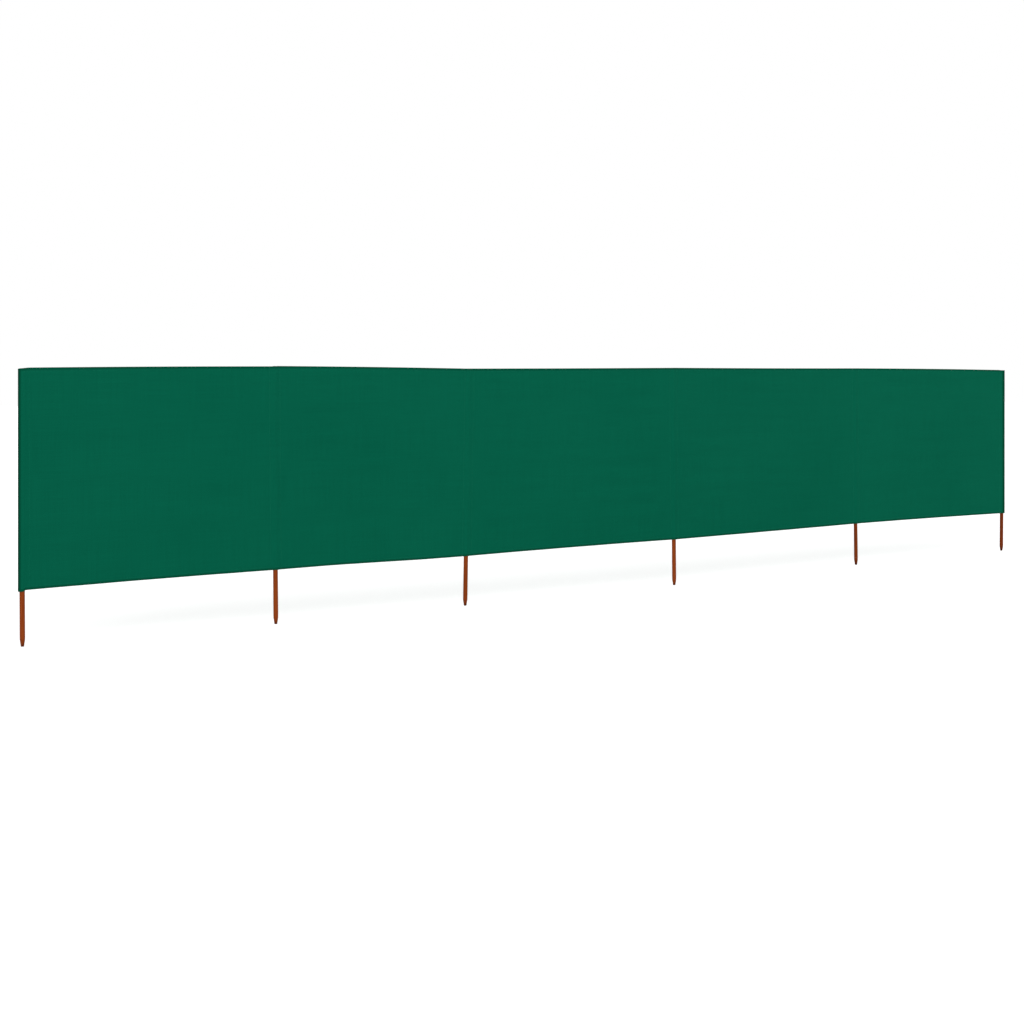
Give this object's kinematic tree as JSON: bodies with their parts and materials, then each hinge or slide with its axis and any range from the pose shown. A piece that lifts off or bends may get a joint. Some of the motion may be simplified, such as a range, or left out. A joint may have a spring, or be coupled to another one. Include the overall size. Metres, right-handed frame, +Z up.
{
  "type": "beach windbreak",
  "caption": "Long green cloth windbreak stretched over pointed wooden poles that are pushed into sand or turf to shelter a pitch.",
  "frame": {"origin": "middle of the blunt foot of the first pole, at the level the pole feet stand on before they are pushed in", "axes": "+X along the fence from the first pole to the last, +Z up; the plain face of the cloth looks along -Y and the pole pockets are on the side that looks along +Y"},
  "size_m": [8.036, 0.1304, 1.509],
  "materials": {
    "cloth": "plain green woven polyester-cotton cloth, matt",
    "cloth_pocket": "the same green cloth, in strips sewn behind the face",
    "pole_wood": "turned hardwood, red-brown stain"
  },
  "bodies": {
    "root": {"pole_1": "pole_wood", "pole_2": "pole_wood", "pole_3": "pole_wood", "pole_4": "pole_wood", "pole_5": "pole_wood", "pole_6": "pole_wood", "pocket_1": "cloth_pocket", "pocket_2": "cloth_pocket", "pocket_3": "cloth_pocket", "pocket_4": "cloth_pocket", "pocket_5": "cloth_pocket", "pocket_6": "cloth_pocket", "panel_1": "cloth", "panel_2": "cloth", "panel_3": "cloth", "panel_4": "cloth", "panel_5": "cloth", "top_hem_1": "cloth", "top_hem_2": "cloth", "top_hem_3": "cloth", "top_hem_4": "cloth", "top_hem_5": "cloth", "bottom_hem_1": "cloth", "bottom_hem_2": "cloth", "bottom_hem_3": "cloth", "bottom_hem_4": "cloth", "bottom_hem_5": "cloth"}
  },
  "joints": []
}
